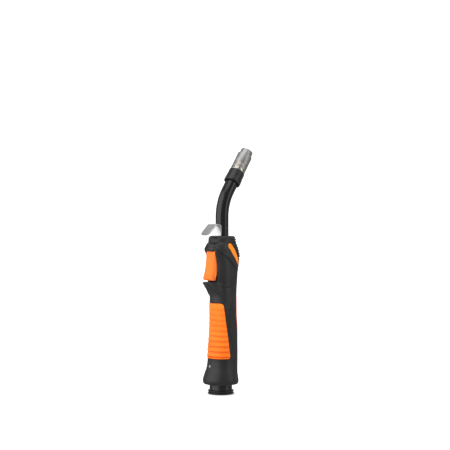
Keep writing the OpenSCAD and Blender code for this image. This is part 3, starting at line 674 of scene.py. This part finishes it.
def shell_half(name, node, side):
    """One handle shell: a closed skin with the openings cut, side +1 or -1 along Y."""
    # heights of the rows, closest where the form turns
    zs = [BASE_Z, 13.7, 14.1, 14.8]
    zs += list(np.arange(15.5, 128.5, 0.85))
    zs += list(np.arange(129.0, 148.4, 0.6))
    zs += [148.6, 149.1, 149.5, 149.8, 150.05, 150.3, 150.5, 150.65, 150.8, 150.86]
    zs += [151.1, 151.5, 152.0]
    zs += list(np.arange(152.6, 199.5, 0.62))
    zs += list(np.arange(199.8, 210.9, 0.42)) + [211.1, 211.4, 211.8, 212.2, 212.45, TOP_Z]
    zs = np.array(zs)
    angles = np.radians(np.concatenate([[0, 0.7, 1.5], np.linspace(3, 177, 104), [178.5, 179.3, 180]]))
    cols = len(angles)
    a, z = np.meshgrid(angles, zs)
    base = form_point(a, z)
    normal = form_normal(a, z)
    d = relief(a, z, base[..., 0], base[..., 1])
    d *= np.clip((z - BASE_Z) / 3, 0, 1) * np.clip((TOP_Z - z) / 2.5, 0, 1)
    outer = base + normal * d[..., None]
    reach = lip_reach(a, z)
    c = (section(z)[0] + section(z)[1]) / 2
    ray = np.stack([base[..., 0] - c, base[..., 1], np.zeros_like(c)], -1)
    ray /= np.maximum(np.linalg.norm(ray, axis=-1, keepdims=True), 1e-9)
    # the guard lip stands out along the ray from the section's centre
    outer = outer + ray * np.maximum(reach, 0)[..., None]
    outer[:, 0, 1] = 0
    outer[:, -1, 1] = 0
    # inside, from the top hole down to the bottom hole
    inner = []

    def circle(cx, r, height):
        inner.append([(cx - r * math.cos(t), r * math.sin(t), height) for t in angles])

    for r, height in ((9.9, TOP_Z), (9.45, 212.35), (9.3, 211.9), (9.3, 207.6)):
        circle(NECK_X, r, height)
    for height in (206.6, 202, 197, 190, 184, 178, 170, 160, 150, 140, 128, 112, 96, 80, 66,
                   54, 44, 37):
        p = form_point(angles, np.full(cols, float(height)), -2.9)
        inner.append([tuple(q) for q in p])
    for r, height in ((17.3, 33.5), (17.3, 28), (18.05, 27.9), (18.05, 14.1), (18.4, 13.6),
                      (18.9, BASE_Z)):
        circle(0, r, height)
    rings = [list(map(tuple, row)) for row in outer] + inner
    verts = []
    for row in rings:
        for x, y, h in row:
            verts.append((x, side * max(y, 0.0), h))
    n = len(rings)
    faces = []
    for i in range(n):
        k = (i + 1) % n
        for j in range(cols - 1):
            faces.append([i * cols + j, i * cols + j + 1, k * cols + j + 1, k * cols + j])
    # walls where the two shells meet
    m = len(outer)
    for edge in (0, cols - 1):
        ring = [i * cols + edge for i in range(n)]
        # strip between the outer edge and the inner edge, matched by height
        i, k = 0, n - 1
        while i < m - 1 or k > m:
            hi = verts[ring[min(i + 1, m - 1)]][2] if i < m - 1 else 1e9
            hk = verts[ring[max(k - 1, m)]][2] if k > m else 1e9
            if hi <= hk:
                faces.append([ring[i], ring[i + 1], ring[k]])
                i += 1
            else:
                faces.append([ring[i], ring[k - 1], ring[k]])
                k -= 1
    obj = piece(name, verts, faces, "handle_black", "handle", [node], smooth=40.0)
    # the trigger's opening, the hook's slot, the clamp screw's hole and the shell screws' recesses
    wide = 9.0
    opening = rounded([(-wide, TRIGGER_LOW), (wide, TRIGGER_LOW), (wide, TRIGGER_HIGH),
                       (-wide, TRIGGER_HIGH)], 1.2, 4)
    pts = [(min(CHEEK, max(-CHEEK, u * CHEEK / wide)), v) for u, v in opening]
    slot = [(-8.75, 206.5), (-6.35, 206.5), (-6.35, 214), (-8.75, 214)]
    tools = [tool([(x, y, h) for x in (-45.0, -13.6) for y, h in pts], wall(len(pts))),
             tool(*prism(slot, -8.4, 8.4)),
             tool(*rod((-30, *CLAMP), (1, 0, 0), 1.75, 17.4, 28))]
    if side > 0:
        tools += [tool(*rod((x, 9.95, h), (0, 1, 0), 3.1, 30, 36)) for x, h in SCREWS]
    cut(obj, tools, 40)


shell_half("shell_skin_left", "shell_left", -1)
shell_half("shell_skin_right", "shell_right", 1)


# ---------------------------------------------------------------- fitted skins
GIRTH = 21.0  # mm round the handle for each radian, near enough for borders


def fitted(a, z, height, depth, side=1):
    """Verts and faces of a skin over a grid of angles and heights, mirrored when side is -1."""
    point, out = form_point(a, z), form_normal(a, z)
    mirror = np.array([1, side, 1])
    return closed_grid((point + out * height[..., None]) * mirror, (point + out * depth) * mirror)


def grip(name, node, side):
    """Half of the soft grip: a smooth border round thin raised ribs that grow downward."""
    z0, z1 = 47.95, 122.15
    zs = np.concatenate([[z0, z0 + 0.12, z0 + 0.35, z0 + 0.7], np.arange(z0 + 1.1, z1 - 1.0, 0.42),
                         [z1 - 0.7, z1 - 0.35, z1 - 0.12, z1]])
    edge = []
    for z in zs:
        line = 0.6 - 8.6 * (z - 47.9) / 74.3
        e = min(z - z0, z1 - z)
        line -= (4.0 - math.sqrt(max(16.0 - (4.0 - min(e, 4.0)) ** 2, 0.0))) * 0.95
        edge.append(float(angle_at(np.array(line), np.array(z))))
    edge = np.array(edge)
    t = np.concatenate([np.linspace(0, 0.9, 46),
                        [0.92, 0.94, 0.955, 0.97, 0.98, 0.988, 0.994, 0.998, 1.0]])
    a = edge[:, None] * t[None, :]
    z = np.broadcast_to(zs[:, None], a.shape)
    inset = np.minimum((edge[:, None] - a) * GIRTH, np.minimum(z - z0, z1 - z))
    h = -0.55 + 1.15 * dome(inset, 1.1)
    field = step(inset, 2.2, 2.9)
    h -= 0.28 * field
    gain = 0.5 + 0.7 * (1 - (z - z0) / (z1 - z0))
    for i in range(RIB_COUNT):
        centre = RIB_FIRST + i * RIB_PITCH + 0.45 * np.cos(a * GIRTH / 9.0)
        h += gain * field * np.exp(-np.abs((z - centre) / np.where(z > centre, 0.75, 0.42)) ** 1.6)
        h -= 0.55 * gain * field * np.exp(-((z - centre + 1.5) / 0.85) ** 2)
    h -= 0.3 * np.exp(-(np.degrees(a) / 1.1) ** 2)
    verts, faces = fitted(a, z, h, -1.3, side)
    piece(name, verts, faces, "soft_orange", "handle", [node], smooth=40.0)


grip("grip_skin_left", "grip_insert_left", -1)
grip("grip_skin_right", "grip_insert_right", 1)


def thumb():
    """The ribbed pad round the back of the handle's top."""
    zs = np.arange(183.6, 208.8, 0.3)
    edge = []
    for z in zs:
        x = float(np.interp(z, [183.2, 192.5, 201, 209], [17.7, 13.55, 10.35, 8.3]))
        e = min(z - 183.45, 208.9 - z)
        x += 2.0 - math.sqrt(max(4.0 - (2.0 - min(max(e, 0.0), 2.0)) ** 2, 0.0))
        edge.append(float(angle_at(np.array(x), np.array(z))))
    edge = np.array(edge)
    t = np.concatenate([np.linspace(0, 0.06, 7), np.linspace(0.08, 0.92, 60), np.linspace(0.94, 1.0, 7)])
    start, end = edge[:, None], 2 * math.pi - edge[:, None]
    a = start + (end - start) * t[None, :]
    z = np.broadcast_to(zs[:, None], a.shape)
    inset = np.minimum(np.minimum(a - start, end - a) * 20.0, np.minimum(z - 183.5, 208.8 - z))
    h = -0.6 + 1.1 * dome(inset, 1.0)
    field = step(inset, 0.9, 1.8)
    wave = np.cos((z - 188.5 + 0.5 * np.cos(a)) / 3.8 * 2 * math.pi)
    h += field * (0.42 * np.clip(wave * 1.3, -1, 1) - 0.25)
    verts, faces = fitted(a, z, h, -1.2)
    piece("thumb_ridges", verts, faces, "rubber_black", "handle", ["thumb_pad"], smooth=45.0)


thumb()


def back_lens():
    """The soft pad on the handle's back, a long lens that stands a little proud."""
    zs = np.linspace(62.4, 135.6, 120)
    half = np.maximum(pad_half(zs), 0.05)
    v = np.sin(np.linspace(-math.pi / 2, math.pi / 2, 25))
    y = half[:, None] * v[None, :] * 0.97
    z = np.broadcast_to(zs[:, None], y.shape)
    xf, xb, w, n = section(z)
    inset = half[:, None] * 0.97 - np.abs(y)
    inset = np.minimum(inset, np.minimum(z - 62.3, 135.7 - z))
    h = -0.5 + 0.95 * dome(inset, 1.0)
    base = (xf + xb) / 2 + (xb - xf) / 2 * (1 - np.abs(y / w) ** n) ** (1 / n)
    verts, faces = closed_grid(np.stack([base + h, y, z], -1), np.stack([base - 1.2, y, z], -1))
    piece("back_lens", verts, faces, "pad_red", "handle", ["back_pad"], smooth=45.0)


back_lens()


def badge(name, node, side):
    """Tapering bar: a rounded head at the top, a point at the bottom."""
    r, length, d = BADGE_R, BADGE_LENGTH, BADGE_WAY
    across = np.array([-d[1], d[0]])
    us = np.concatenate([np.linspace(0, 0.1, 10), np.linspace(0.12, 0.94, 44),
                         [0.96, 0.975, 0.988, 0.996, 1.0]])
    vs = np.sin(np.linspace(-math.pi / 2, math.pi / 2, 17))
    along = -r + us * (length + r)
    half = np.where(along < 0, np.sqrt(np.maximum(r * r - along**2, 0.0)), badge_half(along / length))
    half = np.maximum(half, 0.05)
    bow = -badge_bow(along / length)
    pts = BADGE_HEAD + d * along[:, None]
    pts = pts[:, None, :] + across * (half[:, None] * vs[None, :] + bow[:, None])[..., None]
    x, z = pts[..., 0], pts[..., 1]
    inset = half[:, None] * (1 - np.abs(vs))[None, :]
    inset = np.minimum(inset, (along + r)[:, None])
    h = -0.75 + 0.78 * dome(inset, 0.7) - 0.16 * step(inset, 0.75, 1.0)
    y = side_y(x, z)
    g = 0.5
    normal = np.stack([-(side_y(x + g, z) - side_y(x - g, z)) / (2 * g), np.ones_like(x),
                       -(side_y(x, z + g) - side_y(x, z - g)) / (2 * g)], -1)
    normal /= np.linalg.norm(normal, axis=-1, keepdims=True)
    base, mirror = np.stack([x, y, z], -1), np.array([1, side, 1])
    verts, faces = closed_grid((base + normal * h[..., None]) * mirror, (base - normal * 1.3) * mirror)
    piece(name, verts, faces, "badge_orange", "handle", [node], smooth=45.0)


badge("badge_bar_left", "badge_left", -1)
badge("badge_bar_right", "badge_right", 1)


# ---------------------------------------------------------------- trigger
def trigger():
    """The lever: a crowned front, rounded side edges and a hollow back for spring and plunger."""
    front = [(-19.3, 191.2), (-20.2, 184), (-21.4, 174), (-23.2, 165), (-26.6, 155.8)]
    fx, fz = np.array(front[::-1], float).T
    zs = np.linspace(155.8, 191.2, 26)
    curve = [(float(smooth_column(fz, fx, np.array(v))), float(v)) for v in zs]
    outline = rounded([(-26.65, 155.5), (-24.2, 153.2), (-17.6, 152.7), (-16.8, 158), (-13.6, 169),
                       (-13.3, 186), (-13.6, 191), (-15, 192.2), (-18.5, 192.2)], 0.5, 3)
    loop = curve[::-1] + outline
    n = len(loop)
    half = 7.9
    # how far the outline is drawn in at each distance from the side faces
    border = [(0, 0.62), (0.13, 0.26), (0.36, 0.07), (0.7, 0.0)]
    rows = [(-half + y, q) for y, q in border] + [(y, 0.0) for y in (-5, -2.5, 0, 2.5, 5)]
    rows += [(half - y, q) for y, q in border[::-1]]
    verts = []
    for y, q in rows:
        for x, z in loop:
            # the front turns in towards the sides and is crowned; the ends turn in up and down
            at_front, at_end = x < -17.8, z > 190.5 or z < 156.5
            turn = max(-1.0, min(1.0, (z - 173.0) / 19.0)) if at_end else 0.0
            across = x + q + 0.18 * (y / half) ** 2 if at_front else x
            verts.append((across, y, z - turn * q * 0.8))
    faces = grid_faces(len(rows), n, wrap=True)
    faces.append(list(range(n)))
    faces.append(list(range((len(rows) - 1) * n, len(rows) * n)))
    obj = piece("trigger_lever", verts, faces, "trigger_orange", "trigger", ["trigger"], smooth=42.0)
    # two pockets beside a web, the web's own openings, the plunger's relief and the pin's bore
    hollow = [(-18.2, 187), (-18.7, 184), (-20.0, 174), (-21.7, 165), (-24.2, 156.9), (-12, 156.9),
              (-12, 187)]
    upper = [(-18.2, 187), (-18.7, 184), (-20.0, 174), (-21.3, 167), (-12, 167), (-12, 187)]
    lower = [(-21.85, 163), (-24.2, 156.9), (-12, 156.9), (-12, 163)]
    relief_hole = [(-14.8, 162.8), (-12, 162.8), (-12, 167.2), (-14.8, 167.2)]
    cuts = [prism(hollow, -6.4, -2.5), prism(hollow, 2.5, 6.4), prism(upper, -2.6, 2.6),
            prism(lower, -2.6, 2.6), prism(relief_hole, -2.7, 2.7),
            rod((-15, -12, 189.5), (0, 1, 0), 1.56, 24, 32)]
    cut(obj, [tool(*c) for c in cuts], 40)


trigger()


# ---------------------------------------------------------------- hook
def hook():
    """A bent strip of sheet metal with chamfered edges and a rounded free end."""
    t, half_wide, corner_r, chamfer = 1.5, 8.2, 4.6, 0.28
    x0 = NECK_X - NECK_R - 0.4 - t / 2
    path = rounded([(x0, 207.0), (x0, 226.6), (-15.9, 227.85), (-30.86, 213.79)], [0, 0.8, 0.8, 0], 8)
    pts = [np.array(path[0])]
    for a, b in zip(path[:-1], path[1:]):
        a, b = np.array(a), np.array(b)
        steps = max(1, int(np.linalg.norm(b - a) / 1.2))
        pts += [a + (b - a) * (k + 1) / steps for k in range(steps)]
    pts = np.array(pts)
    gone = np.concatenate([[0], np.cumsum(np.linalg.norm(np.diff(pts, axis=0), axis=1))])
    total = gone[-1]
    extra = [total - v for v in (0.05, 0.2, 0.5, 1.0, 1.6)]
    keep = sorted(set(list(np.round(gone, 4)) + [round(e, 4) for e in extra]))
    xs, zs = np.interp(keep, gone, pts[:, 0]), np.interp(keep, gone, pts[:, 1])
    dirs = np.gradient(np.stack([xs, zs], -1), np.array(keep), axis=0)
    dirs /= np.linalg.norm(dirs, axis=1, keepdims=True)
    verts = []
    for u, x, z, d in zip(keep, xs, zs, dirs):
        left, half, c = total - u, half_wide, chamfer
        if left < corner_r:
            arc = math.sqrt(max(corner_r**2 - (corner_r - left) ** 2, 0.0))
            half = half_wide - corner_r + arc + 0.02
        ring = [(half, t / 2 - c), (half - c, t / 2), (-half + c, t / 2), (-half, t / 2 - c),
                (-half, -t / 2 + c), (-half + c, -t / 2), (half - c, -t / 2), (half, -t / 2 + c)]
        for y, q in ring:
            verts.append((x - d[1] * q, y, z + d[0] * q))
    rings = len(keep)
    faces = grid_faces(rings, 8, wrap=True)
    faces += [list(range(8)), list(range((rings - 1) * 8, rings * 8))]
    obj = piece("hook_strip", verts, faces, "hook_steel", "handle", ["hook"], smooth=30.0)
    for p in obj.data.polygons:
        p.use_smooth = False


hook()


# ---------------------------------------------------------------- neck and nozzle
# starts of the rings along the neck's straight end, and their radii
RING_U, BAND_U, BARREL_U, OUTLET_U, MOUTH_U = 32.8, 37.25, 44.6, 60.8, 68.0
COLLAR_U, COLLAR_R, STUB_R, BARREL_R, OUTLET_R = 14.3, 11.5, 7.55, 10.25, 8.45


def neck():
    """The jacketed neck: a straight foot, the bend and a straight end."""
    sides, bore_r = 80, 5.6
    line = [(NECK_X, z, 0.0) for z in np.linspace(206.3, BEND_Z, 9)]
    for i in range(1, 29):
        a = BEND * i / 28
        line.append((NECK_X + BEND_R * (1 - math.cos(a)), BEND_Z + BEND_R * math.sin(a), a))
    line += [(ELBOW[0] + u * END[0], ELBOW[2] + u * END[2], BEND) for u in np.linspace(3, RING_U - 6, 8)]
    # out along the skin and back along the bore, closed into a ring of rings
    rings = [(*p, NECK_R) for p in line] + [(*p, bore_r) for p in line[::-1]]
    verts = []
    for x, z, lean, r in rings:
        for j in range(sides):
            t = 2 * math.pi * j / sides
            d = r * math.cos(t)
            verts.append((x + d * math.cos(lean), r * math.sin(t), z - d * math.sin(lean)))
    n = len(rings)
    faces = []
    for i in range(n):
        k = (i + 1) % n
        for j in range(sides):
            m = (j + 1) % sides
            faces.append([i * sides + j, i * sides + m, k * sides + m, k * sides + j])
    piece("neck_jacket", verts, faces, "neck_black", "neck", ["neck_sleeve"], smooth=50.0)


neck()

u = COLLAR_U
lathe("insulator_collar", [
    (NECK_R + 1.15, u), (COLLAR_R - 0.55, u), (COLLAR_R - 0.05, u + 0.25), (COLLAR_R + 0.1, u + 0.8),
    (COLLAR_R + 0.1, u + 3.6), (COLLAR_R - 0.02, u + 4.1), (COLLAR_R - 0.14, u + 4.5),
    (COLLAR_R - 0.14, u + 9), (COLLAR_R - 0.2, u + 9.4), (COLLAR_R - 0.45, u + 9.7),
    (COLLAR_R - 0.48, RING_U - 1.1), (COLLAR_R - 0.62, RING_U - 0.45), (COLLAR_R - 1.0, RING_U),
    (8.05, RING_U), (8.05, RING_U - 5.3), (6.7, RING_U - 5.3), (6.7, RING_U - 5.9),
    (NECK_R + 0.05, RING_U - 5.9), (NECK_R + 0.05, u + 4.2), (NECK_R + 1.15, u + 3.4)],
    "collar_black", "neck", ["nozzle_collar"])
u = RING_U
lathe("seat_ring", [
    (6.5, u - 5.2), (7.95, u - 5.2), (7.95, u + 0.05), (BARREL_R - 0.3, u + 0.05), (BARREL_R, u + 0.15),
    (BARREL_R + 0.1, u + 0.45), (BARREL_R + 0.1, u + 0.85), (BARREL_R - 0.3, u + 1.1),
    (BARREL_R - 0.3, u + 1.35), (BARREL_R + 0.1, u + 1.6), (BARREL_R + 0.1, u + 2.1),
    (BARREL_R - 0.3, u + 2.35), (BARREL_R - 0.3, u + 2.6), (BARREL_R + 0.1, u + 2.85),
    (BARREL_R + 0.1, u + 3.45), (BARREL_R, u + 3.75),
    (BARREL_R - 0.3, u + 3.9), (STUB_R, u + 3.9), (STUB_R, u + 6.9), (STUB_R - 0.6, u + 6.9),
    (STUB_R - 0.6, u + 8.0), (STUB_R, u + 8.0), (STUB_R, u + 11.9), (STUB_R - 0.4, u + 12.3),
    (6.5, u + 12.3)], "chrome", "neck", ["nozzle_seat"])
b, o = BARREL_R, OUTLET_R
lathe("nozzle_barrel", [
    (b - 0.65, BARREL_U), (b - 0.22, BARREL_U), (b - 0.06, BARREL_U + 0.08), (b, BARREL_U + 0.28),
    (b, OUTLET_U - 1.0), (b - 0.05, OUTLET_U - 0.7), (b - 0.25, OUTLET_U - 0.42),
    (b - 0.6, OUTLET_U - 0.26), (o + 0.75, OUTLET_U - 0.1), (o + 0.32, OUTLET_U + 0.12),
    (o + 0.1, OUTLET_U + 0.5), (o, OUTLET_U + 1.1),
    (o, MOUTH_U - 0.4), (o - 0.1, MOUTH_U - 0.13), (o - 0.35, MOUTH_U), (o - 1.45, MOUTH_U),
    (o - 1.66, MOUTH_U - 0.18), (o - 1.7, MOUTH_U - 0.5), (o - 1.7, OUTLET_U - 1),
    (b - 1.65, OUTLET_U - 3.2), (b - 1.65, BARREL_U + 9), (b - 0.65, BARREL_U + 9)],
    "nozzle_metal", "nozzle", ["gas_nozzle"])
lathe("nozzle_ring_band", [
    (b - 0.65, BAND_U), (b - 0.25, BAND_U), (b - 0.06, BAND_U + 0.08), (b, BAND_U + 0.28),
    (b, BAND_U + 6.52), (b - 0.06, BAND_U + 6.72), (b - 0.25, BAND_U + 6.8), (b - 0.65, BAND_U + 6.8)],
    "nozzle_metal", "nozzle", ["nozzle_band"])
lathe("nozzle_core", [
    (STUB_R + 0.07, BAND_U - 0.43), (b - 0.2, BAND_U - 0.43), (b - 0.15, BAND_U - 0.38),
    (b - 0.2, BAND_U - 0.05), (b - 0.7, BAND_U - 0.05), (b - 0.7, BARREL_U - 0.5),
    (b - 0.25, BARREL_U - 0.5), (b - 0.2, BARREL_U - 0.3),
    (b - 0.25, BARREL_U - 0.05), (b - 0.7, BARREL_U - 0.05), (b - 0.7, BARREL_U + 8.9),
    (b - 1.6, BARREL_U + 8.9), (b - 1.6, BARREL_U + 3), (STUB_R + 0.07, BARREL_U + 1.6)],
    "copper", "nozzle", ["nozzle_insert"])
t = MOUTH_U - 3
lathe("tip_body", [
    (0.7, RING_U + 9.5), (2.8, RING_U + 9.5), (3.0, RING_U + 9.7), (3.0, RING_U + 16.1),
    (3.8, RING_U + 16.1), (4.0, RING_U + 16.3), (4.0, t - 5.2), (3.9, t - 4.9), (2.95, t - 0.3),
    (2.7, t), (1.0, t), (0.7, t - 0.35)],
    "copper", "neck", ["contact_tip"], sides=64)
lathe("cable_ring", [
    (11.0, 0.35), (11.35, 0), (17.0, 0), (17.45, 0.12), (17.68, 0.45), (17.68, 1.35), (17.5, 1.65),
    (16.9, 1.95), (15.6, 2.2), (15.5, 2.6), (15.6, 3.05), (16.8, 3.3), (17.3, 3.55), (17.45, 3.85),
    (17.45, 4.55), (17.3, 4.85), (16.8, 5.15), (15.75, 5.5), (15.42, 5.9), (15.3, 6.5), (15.3, 15.5),
    (15.15, 16.1), (14.6, 16.5), (12.5, 16.5), (12.5, 40.2), (11.0, 40.2)],
    "collar_black", "cable_tail", ["cable_collar"], place="foot")

# ---------------------------------------------------------------- CAD nodes that stay
# the inner pieces are shown as they are in the CAD, with a material each
slots = {row["node"]: row["material_slot"] for row in frame["record"]["subparts"]}
for name, obj in NODES.items():
    if obj.hide_render or name not in slots:
        continue
    for s in obj.material_slots:
        s.material = MATS[slots[name]]


# ---------------------------------------------------------------- floor and light
def sweep_floor():
    """A pale floor that curves up into a backdrop behind the object; sizes in metres."""
    level, start, curve_r, half_wide = -0.0006, 1.6, 0.8, 3.2
    pts = [(-3.0, level), (start, level)]
    for i in range(1, 17):
        a = math.pi / 2 * i / 16
        pts.append((start + curve_r * math.sin(a), level + curve_r * (1 - math.cos(a))))
    pts.append((start + curve_r, 3.6))
    verts, faces = [], []
    q = math.sqrt(0.5)
    for w in (-half_wide, half_wide):
        for d, z in pts:
            verts.append((q * d + q * w, q * d - q * w, z))
    n = len(pts)
    for i in range(n - 1):
        faces.append([i, i + 1, n + i + 1, n + i])
    mesh = bpy.data.meshes.new("studio_floor")
    mesh.from_pydata(verts, [], faces)
    for p in mesh.polygons:
        p.use_smooth = True
    obj = bpy.data.objects.new("studio_floor", mesh)
    bpy.context.scene.collection.objects.link(obj)
    s = Shade("floor_white")
    s.set(Specular_IOR_Level=0.0, Emission_Color=(1.0, 1.0, 1.0, 1.0), Emission_Strength=0.42)
    tone = s.mix(s.span(s.noise(3.0, 3.0), "Fac", 0.3, 0.7, 0.0, 1.0), "Result",
                 (0.9, 0.9, 0.9), (0.92, 0.92, 0.92))
    mesh.materials.append(s.finish(tone, s.span(s.noise(9.0), "Fac", 0.3, 0.7, 0.85, 0.95), None))
    obj.visible_glossy = False


sweep_floor()

world = bpy.data.worlds.new("studio")
bpy.context.scene.world = world
world.use_nodes = True
world.node_tree.nodes["Background"].inputs["Color"].default_value = (1.0, 1.0, 1.0, 1.0)
world.node_tree.nodes["Background"].inputs["Strength"].default_value = 0.38


def light(name, turn, away, height, wide, tall, level):
    """A softbox turned this many degrees round from the camera's side, in metres.

    level is how bright it looks from the object, whatever its size.
    """
    data = bpy.data.lights.new(name, "AREA")
    data.shape = "RECTANGLE"
    data.size = wide
    data.size_y = tall
    data.energy = level * math.pi * wide * tall
    obj = bpy.data.objects.new(name, data)
    a = math.radians(225 + turn)
    where = Vector((away * math.cos(a), away * math.sin(a), height))
    obj.location = where
    middle = Vector((0.0, 0.0, 0.19))
    obj.rotation_euler = (middle - where).to_track_quat("-Z", "Y").to_euler()
    bpy.context.scene.collection.objects.link(obj)


light("left_box", -60, 1.6, 0.7, 2.6, 2.2, 1.95)
light("right_box", 70, 1.6, 0.7, 0.6, 2.2, 1.75)
light("top_box", -20, 0.35, 2.1, 1.8, 1.8, 2.0)
light("rear_box", 165, 1.4, 1.3, 1.6, 1.2, 0.9)
